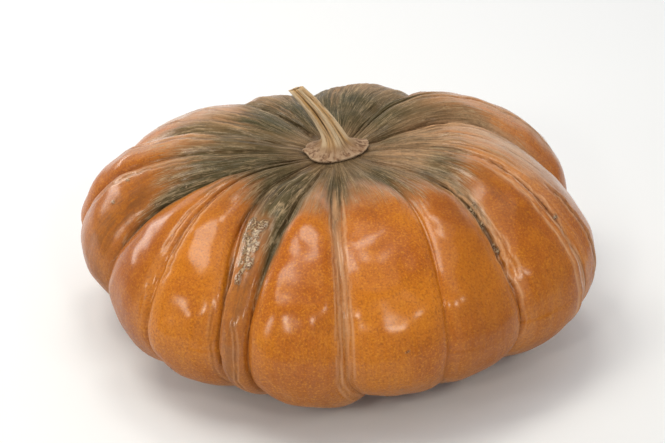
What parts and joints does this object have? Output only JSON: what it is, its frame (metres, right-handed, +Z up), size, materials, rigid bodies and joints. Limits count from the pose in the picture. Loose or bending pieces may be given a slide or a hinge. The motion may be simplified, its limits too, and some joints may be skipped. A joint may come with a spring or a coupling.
{
  "type": "pumpkin",
  "caption": "Large flattened, deeply ribbed brown-orange pumpkin with a sunken olive-grey top and a short dry ridged stem that leans to one side.",
  "frame": {"origin": "on the surface it stands on, below the middle of the bounding box", "axes": "+Z up; the side the picture shows faces -Y; +X is the picture's right"},
  "size_m": [0.4146, 0.3586, 0.2022],
  "materials": {
    "skin": "waxy semi-gloss rind, speckled, olive-grey and striated round the stem",
    "stalk": "dry, fibrous, matte"
  },
  "bodies": {
    "root": {"fruit": "skin", "stem": "stalk"}
  },
  "joints": []
}
